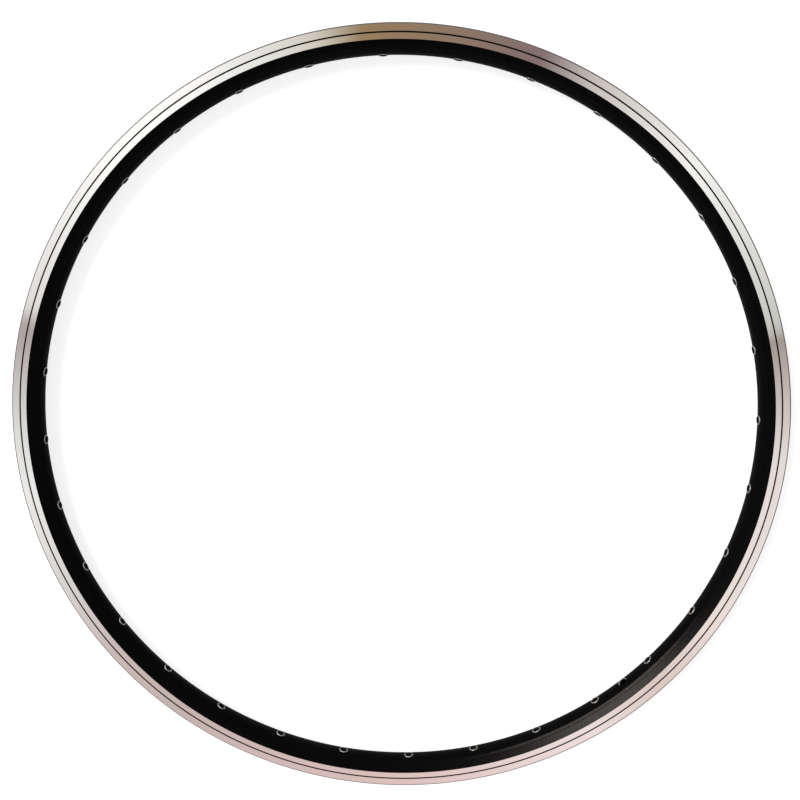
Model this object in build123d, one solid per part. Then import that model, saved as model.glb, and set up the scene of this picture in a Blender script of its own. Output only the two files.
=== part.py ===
from build123d import *
import math
import os

# A 26-inch bicycle rim: one hollow aluminium hoop with a hooked tyre channel, bright braking
# tracks on both sides and a drilled spoke bed, and the pressed eyelets that line its spoke holes.
# The rim lies flat: its axle line is the Z axis and its mid-plane is Z = 0. Lengths in millimetres.

# Tyre channel
bead_seat_diameter = 559.0      # where the tyre's bead sits: the size that a tyre is chosen by
flange_height = 6.25            # bead seat out to the flange tips
flange_wall = 1.9               # flange between its hook and the bead seat
hook_reach = 0.85               # how far the bead hook stands in from the flange wall
hook_height = 2.4               # flange tip down to the root of the hook
tip_round = 1.0                 # rounding of both edges of a flange tip
seat_width = 2.9                # bead seat, measured in from the flange wall
well_depth = 3.0                # bead seat down to the middle well
well_slope = 45.0               # slope between seat and well, in degrees
tyre_bed_wall = 1.5             # wall between the tyre channel and the hollow

# Sides
rim_width = 24.5                # across the two braking tracks
side_wall = 2.0                 # wall behind the track
track_height = 11.0             # bright band, measured in from the flange tip
track_step = 0.3                # drop from the track to the sidewall below it
groove_from_tip = 6.35          # wear groove, measured in from the flange tip
groove_width = 1.1
groove_depth = 0.5
crease_rise = 1.65              # crease of the sidewall, out from the corner of the spoke bed
crease_run = 1.9                # the same crease, sideways from that corner

# Spoke bed
section_depth = 19.1            # flange tip to the crown of the spoke bed
bed_corner_width = 14.7         # across the two corners where the sidewalls end
bed_radius = 13.9               # crown of the spoke bed, across the rim
spoke_bed_wall = 2.25           # wall at the crown, where the spokes pull

# Holes
spoke_count = 32
access_hole_diameter = 8.0      # lets a spoke nipple through the tyre bed
valve_hole_diameter = 6.5       # narrow valve, drilled through both walls
valve_countersink = 0.4         # bevel of the valve hole's edge in the tyre bed, kind to the inner tube
valve_angle = -90.0             # degrees from +X, midway between two spoke holes

# Eyelets
eyelet_bore = 4.6               # clear way for the nipple
eyelet_wall = 0.45
eyelet_flange_diameter = 7.0
eyelet_flange_round = 0.45      # rounding of the flange's edge
eyelet_land = 0.1               # least flat ring between the rounded edge and the mouth
eyelet_mouth_diameter = 5.6     # flared mouth of the bore
eyelet_mouth_depth = 0.5
eyelet_proud = 0.5              # flange above the crown of the spoke bed
eyelet_lip_diameter = 6.6       # rolled lip inside the hollow
eyelet_lip_thickness = 0.6
eyelet_fit = 0.05               # clearance round the eyelet and under its lip
eyelet_seat_clearance = 0.15    # round the flange in its flat seat
eyelet_seat_sink = 0.1          # flat seat below the crowned bed, where the seat's edge lies lowest
lip_room = 1.2                  # flat floor round the lip

# Radii and half widths that follow from the sizes above
half_width = rim_width / 2
bead_seat_r = bead_seat_diameter / 2
tip_r = bead_seat_r + flange_height
crown_r = tip_r - section_depth
track_edge_r = tip_r - track_height
groove_r = tip_r - groove_from_tip
well_r = bead_seat_r - well_depth
wall_z = half_width - flange_wall
hook_z = wall_z - hook_reach
seat_z = wall_z - seat_width
well_z = seat_z - well_depth / math.tan(math.radians(well_slope))
corner_z = bed_corner_width / 2
floor_r = crown_r + spoke_bed_wall
roof_r = well_r - tyre_bed_wall
hollow_mid_r = (floor_r + roof_r) / 2


def crown_drop(width):
    """How far the crowned spoke bed falls away from its crown at this width across the rim."""
    return bed_radius - math.sqrt(bed_radius**2 - (width / 2)**2)


corner_r = crown_r + crown_drop(bed_corner_width)
eyelet_tube_diameter = eyelet_bore + 2 * eyelet_wall
spoke_hole_diameter = eyelet_tube_diameter + 2 * eyelet_fit
eyelet_seat_diameter = eyelet_flange_diameter + 2 * eyelet_seat_clearance
eyelet_seat_r = crown_r + crown_drop(eyelet_seat_diameter) + eyelet_seat_sink

spoke_pitch = 360 / spoke_count
spoke_angles = [valve_angle + spoke_pitch * (i + 0.5) for i in range(spoke_count)]


def mirrored(points):
    """The same points on the other side of the mid-plane, in reverse order."""
    return [(r, -z) for r, z in reversed(points)]


def outer_outline():
    """Outline of the extrusion, as (radius, height): channel, hooks, tracks, sidewalls and bed."""
    side = [
        (well_r, well_z),
        (bead_seat_r, seat_z),
        (bead_seat_r, wall_z),
        (tip_r - hook_height, wall_z),
        (tip_r - hook_height + hook_reach, hook_z),
        (tip_r, hook_z),
        (tip_r, half_width),
        (groove_r + groove_width / 2, half_width),
        (groove_r, half_width - groove_depth),
        (groove_r - groove_width / 2, half_width),
        (track_edge_r, half_width),
        (track_edge_r, half_width - track_step),
        (corner_r + crease_rise, corner_z + crease_run),
        (corner_r, corner_z),
    ]
    points = mirrored(side) + side
    rounds = [tip_round if r == tip_r else 0 for r, z in points[1:-1]]
    bed = ThreePointArc((corner_r, corner_z), (crown_r, 0), (corner_r, -corner_z))
    return FilletPolyline(points, radius=rounds) + bed


def hollow_outline():
    """Outline of the closed chamber between the tyre bed and the spoke bed."""
    miter = tyre_bed_wall * math.tan(math.radians(well_slope / 2))
    shoulder_r = bead_seat_r - tyre_bed_wall
    inner_z = half_width - side_wall
    side = [
        (roof_r, well_z + miter),
        (shoulder_r, seat_z + miter),
        (shoulder_r, inner_z),
        (track_edge_r, inner_z),
        (floor_r, eyelet_lip_diameter / 2 + lip_room),
    ]
    return Polyline(mirrored(side) + side, close=True)


def radial_drill(diameter, start, end):
    """A drill along the X axis, from one radius to another."""
    bit = Cylinder(diameter / 2, end - start, align=(Align.CENTER, Align.CENTER, Align.MIN))
    return Plane.YZ.offset(start) * bit


def valve_hole_countersink():
    """The bevelled edge of the valve hole, on the X axis, from below the well's surface to as far above."""
    hole_r = valve_hole_diameter / 2
    rise = 2 * valve_countersink
    bit = Cone(hole_r, hole_r + rise, rise, align=(Align.CENTER, Align.CENTER, Align.MIN))
    return Plane.YZ.offset(well_r - valve_countersink) * bit


def rim_hoop():
    """The rolled and welded extrusion, turned as one ring and then drilled."""
    section = make_face(outer_outline()) - make_face(hollow_outline())
    hoop = revolve(Plane.XZ * section, Axis.Z)
    clear_r = crown_r - spoke_bed_wall
    spoke_drills = [
        radial_drill(spoke_hole_diameter, clear_r, hollow_mid_r),
        radial_drill(eyelet_seat_diameter, clear_r, eyelet_seat_r),
        radial_drill(access_hole_diameter, hollow_mid_r, tip_r),
    ]
    drills = [Rot(0, 0, angle) * drill for angle in spoke_angles for drill in spoke_drills]
    valve_drills = [
        radial_drill(valve_hole_diameter, clear_r, tip_r),
        valve_hole_countersink(),
    ]
    drills += [Rot(0, 0, valve_angle) * drill for drill in valve_drills]
    return hoop - drills


def eyelet():
    """One pressed eyelet on the X axis: flared mouth, flange on the bed, tube and rolled lip."""
    face_r = crown_r - eyelet_proud
    lip_r = floor_r + eyelet_fit
    end_r = lip_r + eyelet_lip_thickness
    outline = [
        (face_r, eyelet_mouth_diameter / 2),
        (face_r, eyelet_flange_diameter / 2),
        (eyelet_seat_r, eyelet_flange_diameter / 2),
        (eyelet_seat_r, eyelet_tube_diameter / 2),
        (lip_r, eyelet_tube_diameter / 2),
        (lip_r, eyelet_lip_diameter / 2),
        (end_r, eyelet_lip_diameter / 2),
        (end_r, eyelet_bore / 2),
        (face_r + eyelet_mouth_depth, eyelet_bore / 2),
    ]
    flange_edge = outline[1]
    face_width = (eyelet_flange_diameter - eyelet_mouth_diameter) / 2
    edge_round = min(eyelet_flange_round, face_width - eyelet_land)
    rounds = [edge_round if point == flange_edge else 0 for point in outline]
    return revolve(make_face(FilletPolyline(outline, radius=rounds, close=True)), Axis.X)


def spoke_eyelets():
    """All eyelets, one in each spoke hole."""
    single = eyelet()
    return Compound([Rot(0, 0, angle) * single for angle in spoke_angles])


os.makedirs("parts", exist_ok=True)
export_step(rim_hoop(), "parts/rim_hoop.step")
export_step(spoke_eyelets(), "parts/spoke_eyelets.step")
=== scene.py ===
import math

import bmesh
import bpy
from mathutils import Matrix, Vector


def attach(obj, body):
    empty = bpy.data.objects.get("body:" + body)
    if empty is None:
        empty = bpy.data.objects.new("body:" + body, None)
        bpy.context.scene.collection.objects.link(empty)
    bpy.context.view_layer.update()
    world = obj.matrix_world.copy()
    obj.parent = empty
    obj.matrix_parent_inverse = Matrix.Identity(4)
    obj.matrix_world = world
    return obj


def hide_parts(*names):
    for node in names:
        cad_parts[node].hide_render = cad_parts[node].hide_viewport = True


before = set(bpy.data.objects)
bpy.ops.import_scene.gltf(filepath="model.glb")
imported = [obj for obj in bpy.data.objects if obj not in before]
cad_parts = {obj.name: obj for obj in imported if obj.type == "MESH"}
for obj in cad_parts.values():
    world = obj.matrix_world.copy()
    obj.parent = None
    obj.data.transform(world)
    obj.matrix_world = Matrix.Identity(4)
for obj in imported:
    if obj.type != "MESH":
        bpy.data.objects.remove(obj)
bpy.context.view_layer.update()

scene = bpy.context.scene
scene.view_settings.view_transform = "Standard"

# Rim hoop: one aluminium extrusion with a hollow chamber, rolled to a ring and welded, black anodised all
# over. Afterwards both braking tracks are turned bright and the spoke and valve holes are drilled; the edge
# of the valve hole is deburred to bare metal. The section is drawn in millimetres as (radius, height).
MM = 0.001
ROUND_STEPS = 512
HAIR = 0.01  # slack in millimetres when faces are told apart
half_width = 12.25
bead_seat_r, seat_z = 279.5, 7.45
tip_r, tip_round = 285.75, 1.0
wall_z, hook_z, hook_height, hook_reach = 10.35, 9.5, 2.4, 0.85
well_r, well_z = 276.5, 4.45
channel_round, crease_round = 0.25, 0.2
groove_r, groove_width, groove_depth = 279.4, 1.1, 0.5
track_edge_r, track_step = 274.75, 0.3
crown_r, bed_radius, corner_z = 266.65, 13.9, 7.35
corner_r = crown_r + bed_radius - math.sqrt(bed_radius**2 - corner_z**2)
crease_r, crease_z = corner_r + 1.65, corner_z + 1.9
spoke_bed_wall = 2.25
floor_r, roof_r, shoulder_r = crown_r + spoke_bed_wall, 275.0, 278.0
inner_z, floor_z, mitre = 10.25, 4.5, 0.621
spoke_count = 32
valve_angle = math.radians(-90)
spoke_angle = valve_angle + math.pi / spoke_count


def at(radius, height):
    """A point of the section, in the plane of X and Z."""
    return Vector((radius * MM, 0, height * MM))


def outline(bm, points, closed=False):
    """A line of edges through a few points of the section."""
    verts = [bm.verts.new(at(*point)) for point in points]
    pairs = list(zip(verts, verts[1:])) + ([(verts[-1], verts[0])] if closed else [])
    for pair in pairs:
        bm.edges.new(pair)
    return verts


def round_off(bm, verts, radius, segments):
    """Round some corners of an outline."""
    bmesh.ops.bevel(bm, geom=verts, offset=radius * MM, segments=segments, profile=0.5,
                    affect="VERTICES", material=-1)


def mirror_across_mid_plane(bm):
    bmesh.ops.mirror(bm, geom=bm.verts[:] + bm.edges[:], axis="Z", merge_dist=0)
    bmesh.ops.remove_doubles(bm, verts=bm.verts, dist=1e-6)


def turn_full(bm, axis, steps, merge):
    """Spin an outline once round an axis through the origin and close it."""
    bmesh.ops.spin(bm, geom=bm.verts[:] + bm.edges[:], cent=(0, 0, 0), axis=axis,
                   angle=2 * math.pi, steps=steps, use_merge=True)
    bmesh.ops.remove_doubles(bm, verts=bm.verts, dist=merge)
    bmesh.ops.recalc_face_normals(bm, faces=bm.faces)


def spin_round_axle(bm, steps):
    turn_full(bm, (0, 0, 1), steps, 1e-6)


def spin_round_spoke(bm, steps):
    turn_full(bm, (1, 0, 0), steps, 1e-7)


def turn_to(bm, angle):
    """Turn a shape from the X axis to its place round the axle."""
    bmesh.ops.rotate(bm, verts=bm.verts, cent=(0, 0, 0), matrix=Matrix.Rotation(angle, 3, "Z"))


def copy_to_all_spokes(bm):
    """Repeat the first spoke hole's shape at all the other spoke holes."""
    turn_to(bm, spoke_angle)
    bmesh.ops.spin(bm, geom=bm.verts[:] + bm.edges[:] + bm.faces[:], cent=(0, 0, 0), axis=(0, 0, 1),
                   angle=2 * math.pi * (spoke_count - 1) / spoke_count, steps=spoke_count - 1,
                   use_duplicate=True)


def add_shape(bm, shape):
    """Put a finished shape into another mesh."""
    mesh = bpy.data.meshes.new("shape")
    shape.to_mesh(mesh)
    shape.free()
    bm.from_mesh(mesh)
    bpy.data.meshes.remove(mesh)


def as_piece(bm, name, materials):
    mesh = bpy.data.meshes.new(name)
    bm.to_mesh(mesh)
    bm.free()
    piece = bpy.data.objects.new(name, mesh)
    for material in materials:
        mesh.materials.append(material)
    scene.collection.objects.link(piece)
    return piece


def new_material(name):
    material = bpy.data.materials.new(name)
    material.use_nodes = True
    nodes = material.node_tree.nodes
    return material, nodes, material.node_tree.links, nodes["Principled BSDF"]


def new_group(name, inputs, output):
    """A node group of marks: a position and some values in, one value that changes over the surface out."""
    group = bpy.data.node_groups.new(name, "ShaderNodeTree")
    group.interface.new_socket("Position", in_out="INPUT", socket_type="NodeSocketVector")
    for socket in inputs:
        group.interface.new_socket(socket, in_out="INPUT", socket_type="NodeSocketFloat")
    group.interface.new_socket(output, in_out="OUTPUT", socket_type="NodeSocketFloat")
    nodes = group.nodes
    return group, nodes, group.links, nodes.new("NodeGroupInput"), nodes.new("NodeGroupOutput")


# Marks that circle the axle line: die lines of the extrusion and the fine tool marks of the turned tracks.
lines_group, n, l, group_in, group_out = new_group(
    "circling_lines", ["Lines per metre", "Changes round the rim"], "Lines")
flat, length, bearing, slow = (n.new("ShaderNodeVectorMath") for _ in range(4))
flat.operation, length.operation = "MULTIPLY", "LENGTH"
bearing.operation, slow.operation = "NORMALIZE", "SCALE"
flat.inputs[1].default_value = (1, 1, 0)
l.new(group_in.outputs["Position"], flat.inputs[0])
l.new(flat.outputs["Vector"], length.inputs[0])
l.new(flat.outputs["Vector"], bearing.inputs[0])
l.new(bearing.outputs["Vector"], slow.inputs[0])
l.new(group_in.outputs["Changes round the rim"], slow.inputs["Scale"])
parts, joined = n.new("ShaderNodeSeparateXYZ"), n.new("ShaderNodeCombineXYZ")
height = n.new("ShaderNodeSeparateXYZ")
radius_lines, height_lines = n.new("ShaderNodeMath"), n.new("ShaderNodeMath")
radius_lines.operation = height_lines.operation = "MULTIPLY"
l.new(slow.outputs["Vector"], parts.inputs[0])
l.new(group_in.outputs["Position"], height.inputs[0])
l.new(length.outputs["Value"], radius_lines.inputs[0])
l.new(height.outputs["Z"], height_lines.inputs[0])
l.new(group_in.outputs["Lines per metre"], radius_lines.inputs[1])
l.new(group_in.outputs["Lines per metre"], height_lines.inputs[1])
l.new(parts.outputs["X"], joined.inputs["X"])
l.new(parts.outputs["Y"], joined.inputs["Y"])
l.new(radius_lines.outputs[0], joined.inputs["Z"])
noise = n.new("ShaderNodeTexNoise")
noise.noise_dimensions = "4D"
noise.inputs["Scale"].default_value = 1
noise.inputs["Detail"].default_value = 3
l.new(joined.outputs["Vector"], noise.inputs["Vector"])
l.new(height_lines.outputs[0], noise.inputs["W"])
l.new(noise.outputs["Fac"], group_out.inputs["Lines"])

# Grain of a finish: fine pits and grains, the same in every direction.
grain_group, n, l, group_in, group_out = new_group("fine_grain", ["Grains per metre"], "Grain")
noise = n.new("ShaderNodeTexNoise")
l.new(group_in.outputs["Position"], noise.inputs["Vector"])
l.new(group_in.outputs["Grains per metre"], noise.inputs["Scale"])
l.new(noise.outputs["Fac"], group_out.inputs["Grain"])


def marks(nodes, links, group, values):
    """Lay a group of marks on the piece's own coordinates."""
    position, node = nodes.new("ShaderNodeTexCoord"), nodes.new("ShaderNodeGroup")
    node.node_tree = group
    for name, value in values.items():
        node.inputs[name].default_value = value
    links.new(position.outputs["Object"], node.inputs["Position"])
    return node.outputs[0]


def circling_lines(nodes, links, per_metre, changes):
    values = {"Lines per metre": per_metre, "Changes round the rim": changes}
    return marks(nodes, links, lines_group, values)


def fine_grain(nodes, links, per_metre):
    return marks(nodes, links, grain_group, {"Grains per metre": per_metre})


def spread(nodes, links, value, low, high, into):
    """Stretch a noise value, which mostly lies from 0.3 to 0.7, over a range and lead it into a socket."""
    node = nodes.new("ShaderNodeMapRange")
    node.inputs["From Min"].default_value, node.inputs["From Max"].default_value = 0.3, 0.7
    node.inputs["To Min"].default_value, node.inputs["To Max"].default_value = low, high
    links.new(value, node.inputs["Value"])
    links.new(node.outputs["Result"], into)


def tint(nodes, links, value, low, high, into):
    """Shade between two colours by a noise value."""
    node = nodes.new("ShaderNodeMix")
    node.data_type = "RGBA"
    node.inputs["A"].default_value = (*low, 1)
    node.inputs["B"].default_value = (*high, 1)
    spread(nodes, links, value, 0, 1, node.inputs["Factor"])
    links.new(node.outputs["Result"], into)


def relief(nodes, links, value, strength, height, shader):
    """Raise the surface a little by a noise value; height is in metres."""
    bump = nodes.new("ShaderNodeBump")
    bump.inputs["Strength"].default_value = strength
    bump.inputs["Distance"].default_value = height
    links.new(value, bump.inputs["Height"])
    links.new(bump.outputs["Normal"], shader.inputs["Normal"])


def black_finish(name, shade, shine, smooth, rough):
    """Black anodising with faint die lines; shade is its lightest grey, shine its reflection's strength."""
    material, n, l, shader = new_material(name)
    shader.inputs["Specular IOR Level"].default_value = shine
    dark, light = (0.5 * shade, 0.5 * shade, 0.55 * shade), (shade, shade, 1.1 * shade)
    tint(n, l, circling_lines(n, l, 900, 2), dark, light, shader.inputs["Base Color"])
    spread(n, l, fine_grain(n, l, 2500), smooth, rough, shader.inputs["Roughness"])
    relief(n, l, fine_grain(n, l, 6000), 0.12, 0.00004, shader)
    return material


black_anodised = black_finish("black_anodised", 0.001, 0.034, 0.20, 0.26)
matt_black_and_painted_shade = black_finish("black_anodised_matt", 0.001, 0.015, 0.50, 0.60)
# The rounded flange tips get a lighter grey: partly wear, partly a painted reflection of the bright
# surroundings.
edge_wear_and_painted_reflection = black_finish("black_anodised_worn_edge", 0.07, 0.1, 0.40, 0.50)
black_channel = black_finish("black_anodised_channel", 0.012, 0.3, 0.30, 0.40)

bright_track, n, l, shader = new_material("turned_braking_track")
shader.inputs["Metallic"].default_value = 1
shader.inputs["Anisotropic"].default_value = 0.95
tint(n, l, circling_lines(n, l, 2600, 3), (0.77, 0.76, 0.745), (0.83, 0.82, 0.805),
     shader.inputs["Base Color"])
spread(n, l, circling_lines(n, l, 1500, 5), 0.045, 0.06, shader.inputs["Roughness"])
relief(n, l, circling_lines(n, l, 5200, 2), 0.05, 0.00002, shader)
outward, flatten = n.new("ShaderNodeTexCoord"), n.new("ShaderNodeVectorMath")
flatten.operation = "MULTIPLY"
flatten.inputs[1].default_value = (1, 1, 0)
l.new(outward.outputs["Object"], flatten.inputs[0])
l.new(flatten.outputs["Vector"], shader.inputs["Tangent"])

drilled_metal, n, l, shader = new_material("drilled_aluminium")
shader.inputs["Metallic"].default_value = 1
tint(n, l, fine_grain(n, l, 3000), (0.42, 0.415, 0.41), (0.56, 0.555, 0.55), shader.inputs["Base Color"])
spread(n, l, circling_lines(n, l, 3000, 40), 0.5, 0.7, shader.inputs["Roughness"])
relief(n, l, circling_lines(n, l, 3500, 30), 0.15, 0.00005, shader)

hoop_finishes = [black_anodised, bright_track, drilled_metal, matt_black_and_painted_shade, black_channel, edge_wear_and_painted_reflection]

bm = bmesh.new()
side = outline(bm, [
    (well_r, 0), (well_r, well_z), (bead_seat_r, seat_z), (bead_seat_r, wall_z),
    (tip_r - hook_height, wall_z), (tip_r - hook_height + hook_reach, hook_z),
    (tip_r, hook_z), (tip_r, half_width),
    (groove_r + groove_width / 2, half_width), (groove_r, half_width - groove_depth),
    (groove_r - groove_width / 2, half_width),
    (track_edge_r, half_width), (track_edge_r, half_width - track_step),
    (crease_r, crease_z), (corner_r, corner_z)], closed=True)
bm.faces.new(side)
tips, channel_corners, crease = side[6:8], side[3:6], side[13]
closing = bm.edges.get((side[14], side[0]))
round_off(bm, tips, tip_round, 6)
round_off(bm, channel_corners, channel_round, 2)
round_off(bm, [crease], crease_round, 3)
bmesh.ops.delete(bm, geom=bm.faces[:], context="FACES_ONLY")
bmesh.ops.delete(bm, geom=[closing], context="EDGES")
bmesh.ops.spin(bm, geom=[bm.verts.new(at(crown_r, 0))], cent=at(crown_r + bed_radius, 0), axis=(0, 1, 0),
               angle=math.asin(corner_z / bed_radius), steps=10)
bmesh.ops.remove_doubles(bm, verts=bm.verts, dist=1e-6)
mirror_across_mid_plane(bm)
spin_round_axle(bm, ROUND_STEPS)

tip_start_r, tip_start_z = tip_r - tip_round, half_width - tip_round
for face in bm.faces:
    face.smooth = True
    radii = [vert.co.xy.length / MM for vert in face.verts]
    heights = [abs(vert.co.z) / MM for vert in face.verts]
    off_groove = abs(sum(radii) / len(radii) - groove_r) > groove_width / 2
    finish = black_anodised
    if min(heights) > half_width - 2 * HAIR and off_groove:
        finish = bright_track
    elif max(radii) < corner_r + HAIR:
        finish = matt_black_and_painted_shade
    elif min(heights) > tip_start_z - HAIR and min(radii) > tip_start_r - HAIR:
        finish = edge_wear_and_painted_reflection
    elif min(radii) > well_r - HAIR and max(heights) < tip_start_z + HAIR:
        finish = black_channel
    face.material_index = hoop_finishes.index(finish)

chamber = bmesh.new()
outline(chamber, [
    (roof_r, 0), (roof_r, well_z + mitre), (shoulder_r, seat_z + mitre), (shoulder_r, inner_z),
    (track_edge_r, inner_z), (floor_r, floor_z), (floor_r, 0)])
mirror_across_mid_plane(chamber)
spin_round_axle(chamber, ROUND_STEPS // 2)
bmesh.ops.reverse_faces(chamber, faces=chamber.faces)
add_shape(bm, chamber)
hoop = as_piece(bm, "rim_hoop_finished", hoop_finishes)

eyelet_seat_r, seat_radius, spoke_hole_radius = 267.237, 3.65, 2.8
access_radius, valve_radius, countersink, deburr = 4.0, 3.25, 0.4, 0.38
clear_r, mid_r = crown_r - spoke_bed_wall, (floor_r + roof_r) / 2

# Each drill is a line along the X axis, as (radius from the axle, radius of the drill).
drills = bmesh.new()
outline(drills, [
    (clear_r, 0), (clear_r, seat_radius), (eyelet_seat_r, seat_radius), (eyelet_seat_r, spoke_hole_radius),
    (mid_r, spoke_hole_radius), (mid_r, access_radius), (tip_r, access_radius), (tip_r, 0)])
spin_round_spoke(drills, 40)
copy_to_all_spokes(drills)
for face in drills.faces:
    face.material_index = hoop_finishes.index(drilled_metal)

valve = bmesh.new()
outline(valve, [
    (clear_r, 0), (clear_r, valve_radius + crown_r + deburr - clear_r), (crown_r + deburr, valve_radius),
    (well_r - countersink, valve_radius), (well_r + countersink, valve_radius + 2 * countersink),
    (well_r + countersink, 0)])
spin_round_spoke(valve, 48)
# The straight wall of the valve hole gets the matt black finish as painted shade; its countersink and
# deburred edge stay bare metal.
for face in valve.faces:
    widths = [vert.co.yz.length / MM for vert in face.verts]
    straight = max(widths) - min(widths) < HAIR
    face.material_index = hoop_finishes.index(matt_black_and_painted_shade if straight else drilled_metal)
turn_to(valve, valve_angle)
add_shape(drills, valve)
for face in drills.faces:
    face.smooth = True

cutter = as_piece(drills, "drills", hoop_finishes)
cut = hoop.modifiers.new("holes", "BOOLEAN")
cut.operation, cut.solver, cut.material_mode, cut.object = "DIFFERENCE", "EXACT", "INDEX", cutter
drilled = bpy.data.meshes.new_from_object(hoop.evaluated_get(bpy.context.evaluated_depsgraph_get()))
hoop.modifiers.clear()
bpy.data.objects.remove(cutter)
bm = bmesh.new()
bm.from_mesh(drilled)
bmesh.ops.dissolve_degenerate(bm, edges=bm.edges, dist=5e-6)
bm.to_mesh(drilled)
bm.free()
hoop.data = drilled

# The corner of the spoke bed and the line where the track ends at the tip stay crisp.
crisp = [(round(corner_r, 2), corner_z), (tip_start_r, half_width)]
drilled.set_sharp_from_angle(angle=math.radians(25))
for edge in drilled.edges:
    ends = [drilled.vertices[i].co for i in edge.vertices]
    places = [(round(co.xy.length / MM, 2), round(abs(co.z) / MM, 2)) for co in ends]
    edge.use_edge_sharp |= places[0] == places[1] and places[0] in crisp
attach(hoop, "root")
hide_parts("rim_hoop")

# Spoke eyelets: 32 pressed and nickel-plated metal rings, one in each spoke hole. The flange with its flared
# mouth sits in a flat seat on the spoke bed, and the far end of the tube is rolled to a lip in the hollow.
# The bore and the sheared edge of the flange are painted near black, as painted shade.
eyelet_nickel, n, l, shader = new_material("eyelet_nickel")
shader.inputs["Metallic"].default_value = 1
tint(n, l, fine_grain(n, l, 1800), (0.20, 0.198, 0.195), (0.28, 0.278, 0.275), shader.inputs["Base Color"])
spread(n, l, fine_grain(n, l, 3500), 0.44, 0.54, shader.inputs["Roughness"])
relief(n, l, fine_grain(n, l, 2600), 0.1, 0.00005, shader)

# Near-black painted shade for the eyelet's bore and for the sheared edge of its flange.
painted_shade_finish, n, l, shader = new_material("eyelet_dull_metal")
shader.inputs["Specular IOR Level"].default_value = 0.05
tint(n, l, fine_grain(n, l, 2200), (0.003, 0.003, 0.003), (0.008, 0.0075, 0.007), shader.inputs["Base Color"])
spread(n, l, fine_grain(n, l, 3500), 0.5, 0.7, shader.inputs["Roughness"])
relief(n, l, fine_grain(n, l, 2600), 0.1, 0.00005, shader)
eyelet_finishes = [eyelet_nickel, painted_shade_finish]

eyelet_proud, mouth_depth, lip_clearance, lip_thickness = 0.5, 0.5, 0.05, 0.6
flange_radius, mouth_radius, tube_radius, bore_radius, lip_radius = 3.5, 2.8, 2.75, 2.3, 3.3
flange_round, mouth_round, lip_round = 0.45, 0.2, 0.2
face_r, lip_r = crown_r - eyelet_proud, floor_r + lip_clearance
end_r = lip_r + lip_thickness
bm = bmesh.new()
ring = outline(bm, [
    (face_r, mouth_radius), (face_r, flange_radius), (eyelet_seat_r, flange_radius),
    (eyelet_seat_r, tube_radius), (lip_r, tube_radius), (lip_r, lip_radius),
    (end_r, lip_radius), (end_r, bore_radius), (face_r + mouth_depth, bore_radius)], closed=True)
bm.faces.new(ring)
flange_edge, mouth, lip_edges, throat = ring[1], ring[0], ring[5:7], ring[8]
round_off(bm, [flange_edge], flange_round, 4)
round_off(bm, [mouth, throat], mouth_round, 2)
round_off(bm, lip_edges, lip_round, 2)
bmesh.ops.delete(bm, geom=bm.faces[:], context="FACES_ONLY")
spin_round_spoke(bm, 32)
for face in bm.faces:
    face.smooth = True
    widths = [vert.co.yz.length / MM for vert in face.verts]
    faces_in = face.normal.yz.dot(face.calc_center_median().yz) < 0
    in_bore = max(widths) < mouth_radius + 5 * HAIR and faces_in
    on_sheared_edge = min(widths) > flange_radius - HAIR
    face.material_index = eyelet_finishes.index(painted_shade_finish if in_bore or on_sheared_edge else eyelet_nickel)
copy_to_all_spokes(bm)
eyelets = as_piece(bm, "spoke_eyelets_finished", eyelet_finishes)
eyelets.data.set_sharp_from_angle(angle=math.radians(40))
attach(eyelets, "root")
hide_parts("spoke_eyelets")

# Floor: a plain white table that the rim lies on, matt, with the rim's soft shadow. The camera and shiny
# metal see it a little brighter than the light on it, which takes the open table up to white.
white_table, n, l, shader = new_material("white_table")
shader.inputs["Base Color"].default_value = (0.25, 0.25, 0.25, 1)
shader.inputs["Roughness"].default_value = 0.9
shader.inputs["Specular IOR Level"].default_value = 0
shader.inputs["Emission Color"].default_value = (1, 1, 1, 1)
path = n.new("ShaderNodeLightPath")
seen_or_mirrored, seen, glow = (n.new("ShaderNodeMath") for _ in range(3))
seen_or_mirrored.operation, seen.operation, glow.operation = "ADD", "ADD", "MULTIPLY"
seen.use_clamp = True
glow.inputs[1].default_value = 0.8
l.new(path.outputs["Is Camera Ray"], seen_or_mirrored.inputs[0])
l.new(path.outputs["Is Glossy Ray"], seen_or_mirrored.inputs[1])
l.new(seen_or_mirrored.outputs[0], seen.inputs[0])
l.new(path.outputs["Is Transmission Ray"], seen.inputs[1])
l.new(seen.outputs[0], glow.inputs[0])
l.new(glow.outputs[0], shader.inputs["Emission Strength"])
bm = bmesh.new()
bmesh.ops.create_grid(bm, x_segments=1, y_segments=1, size=5)
bmesh.ops.translate(bm, verts=bm.verts, vec=(0, 0, -half_width * MM))
table = as_piece(bm, "white_table", [white_table])

# Light: soft boxes stand in a ring round the camera, as a dome of light that changes with the direction round
# it, with a dim warm gap at the top of the picture. Two more soft boxes at the upper left face the lower
# right of the rim and give the sheen on the two facets of its sidewall.
picture_right = Vector((math.cos(math.radians(-41.03)), math.sin(math.radians(-41.03)), 0))
picture_down = Vector((math.cos(math.radians(-131.03)), math.sin(math.radians(-131.03)), 0))
upward = Vector((0, 0, 1))
world = bpy.data.worlds.new("soft_boxes")
scene.world = world
world.use_nodes = True
n, l = world.node_tree.nodes, world.node_tree.links
background = n["Background"]
direction = n.new("ShaderNodeTexCoord")


def dome_math(operation, first, second=None):
    node = n.new("ShaderNodeMath")
    node.operation = operation
    for socket, value in zip(node.inputs, (first, second)):
        if isinstance(value, (int, float)):
            socket.default_value = value
        elif value is not None:
            l.new(value, socket)
    return node.outputs[0]


def share_along(axis):
    """How much of a direction of the dome points along an axis."""
    node = n.new("ShaderNodeVectorMath")
    node.operation = "DOT_PRODUCT"
    node.inputs[1].default_value = axis
    l.new(direction.outputs["Generated"], node.inputs[0])
    return node.outputs["Value"]


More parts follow.
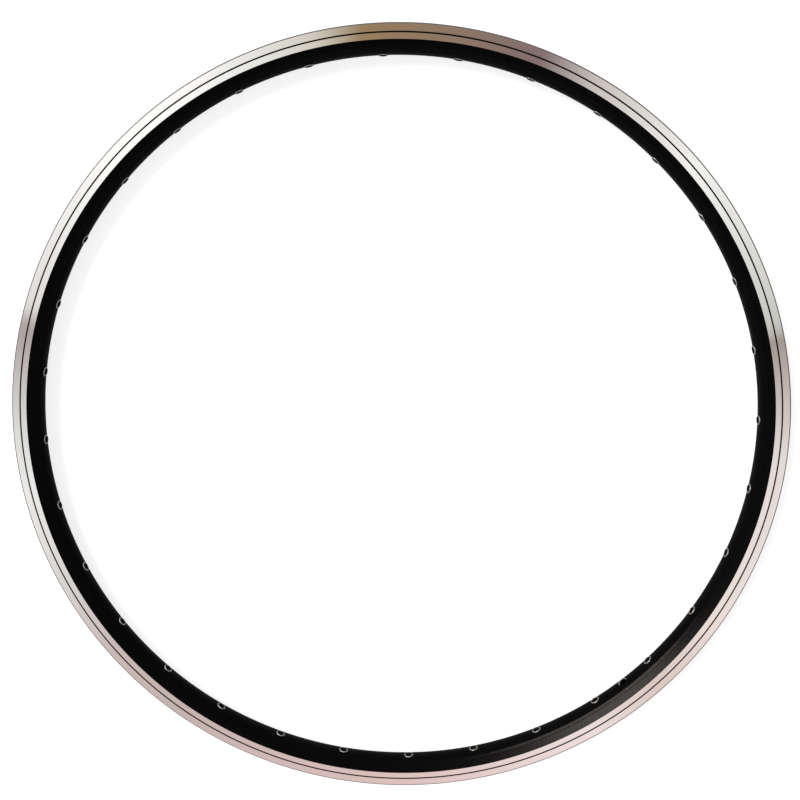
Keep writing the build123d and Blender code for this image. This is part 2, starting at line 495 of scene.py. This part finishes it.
def ramp_up(value, start, end):
    node = n.new("ShaderNodeMapRange")
    node.interpolation_type = "SMOOTHSTEP"
    node.inputs["From Min"].default_value, node.inputs["From Max"].default_value = start, end
    l.new(value, node.inputs["Value"])
    return node.outputs["Result"]


def dome_mix(factor, first, second):
    node = n.new("ShaderNodeMix")
    node.data_type = "RGBA"
    l.new(factor, node.inputs["Factor"])
    for name, value in (("A", first), ("B", second)):
        if isinstance(value, tuple):
            node.inputs[name].default_value = (*value, 1)
        else:
            l.new(value, node.inputs[name])
    return node.outputs["Result"]


# The ring's middle is the direction in which the flat tracks mirror the camera, as slopes to the picture's
# right and down; turn is the bearing round it and reach the slope out from it.
middle_right, middle_down = -0.0389, 0.2262
rise = dome_math("MAXIMUM", share_along(upward), 0.05)
across = dome_math("SUBTRACT", dome_math("DIVIDE", share_along(picture_right), rise), middle_right)
down = dome_math("SUBTRACT", dome_math("DIVIDE", share_along(picture_down), rise), middle_down)
squares = dome_math("ADD", dome_math("MULTIPLY", across, across), dome_math("MULTIPLY", down, down))
reach = dome_math("SQRT", squares)
turn = dome_math("ADD", dome_math("DIVIDE", dome_math("ARCTAN2", down, across), 2 * math.pi), 0.5)

# Light by bearing, in degrees from the picture's right towards its bottom.
soft_boxes = [
    (-180, (0.90, 0.90, 0.90)), (-172, (0.70, 0.68, 0.68)), (-163.5, (0.50, 0.42, 0.42)),
    (-160.5, (0.92, 0.90, 0.90)), (-144, (1.12, 1.12, 1.12)), (-136, (1.20, 1.20, 1.20)),
    (-122, (1.20, 1.20, 1.20)), (-108, (0.95, 0.95, 0.92)), (-101, (0.80, 0.76, 0.66)),
    (-94.5, (0.38, 0.26, 0.14)), (-69, (0.28, 0.20, 0.20)), (-60, (0.74, 0.69, 0.66)),
    (-42, (1.12, 1.12, 1.10)), (-15.6, (0.70, 0.70, 0.67)), (-15, (0.42, 0.36, 0.33)),
    (4, (0.97, 0.90, 0.88)), (31, (1.04, 0.92, 0.88)), (45, (0.88, 0.73, 0.68)),
    (58, (1.06, 0.92, 0.91)), (90, (0.90, 0.67, 0.65)), (128, (0.69, 0.57, 0.55)),
    (142, (0.74, 0.61, 0.60)), (152, (0.82, 0.79, 0.78)), (171, (1.04, 1.04, 1.04)),
    (180, (0.90, 0.90, 0.90))]
boxes = n.new("ShaderNodeValToRGB")
stops = boxes.color_ramp.elements
for place, (bearing, colour) in enumerate(soft_boxes):
    along = bearing / 360 + 0.5
    stop = stops.new(along) if 0 < place < len(soft_boxes) - 1 else stops[-1 if place else 0]
    stop.position, stop.color = along, (*colour, 1)
l.new(turn, boxes.inputs["Fac"])
overhead = dome_mix(ramp_up(reach, 0.08, 0.2), (0.9, 0.9, 0.9), boxes.outputs["Color"])
walls = dome_mix(ramp_up(reach, 0.62, 0.85), overhead, (0.6, 0.6, 0.6))
horizon = dome_mix(ramp_up(share_along(upward), 0.3, 0.15), walls, (1, 1, 1))
l.new(horizon, background.inputs["Color"])
background.inputs["Strength"].default_value = 1

lit_place = 0.1625 * picture_right + 0.2156 * picture_down
warm_white = (1, 0.9, 0.84)
for name, right, low, height, width, depth, watts in (
        ("upper_soft_box", -2.669, -2.116, 4.74, 1.7, 1.422, 295),
        ("lower_soft_box", -1.372, -1.412, 0.866, 1.4, 0.2598, 62)):
    lamp = bpy.data.lights.new(name, "AREA")
    lamp.shape, lamp.size, lamp.size_y = "RECTANGLE", width, depth
    lamp.energy, lamp.color = watts, warm_white
    soft_box = bpy.data.objects.new(name, lamp)
    place = right * picture_right + low * picture_down + height * upward
    back = (place - lit_place).normalized()
    level = upward.cross(back).normalized()
    facing = Matrix((level, back.cross(level), back)).transposed().to_4x4()
    soft_box.matrix_world = Matrix.Translation(place) @ facing
    soft_box.visible_camera = False
    scene.collection.objects.link(soft_box)

# Camera: above the rim and a little towards the top of the picture, looking down on it. Its lens, place and
# aim are fitted to the rim's edges.
lens = bpy.data.cameras.new("camera")
lens.lens, lens.sensor_width, lens.clip_start = 41.12, 36, 0.01
camera = bpy.data.objects.new("camera", lens)
stand = 0.02546 * picture_right - 0.1480 * picture_down + (0.6548 + half_width * MM) * upward
forward = -0.03373 * picture_right + 0.18440 * picture_down - 0.98227 * upward
picture_up = -0.98273 * picture_down - 0.18504 * upward
sideways = forward.cross(picture_up).normalized()
aim = Matrix((sideways, sideways.cross(forward), -forward)).transposed().to_4x4()
camera.matrix_world = Matrix.Translation(stand) @ aim
scene.collection.objects.link(camera)
scene.camera = camera
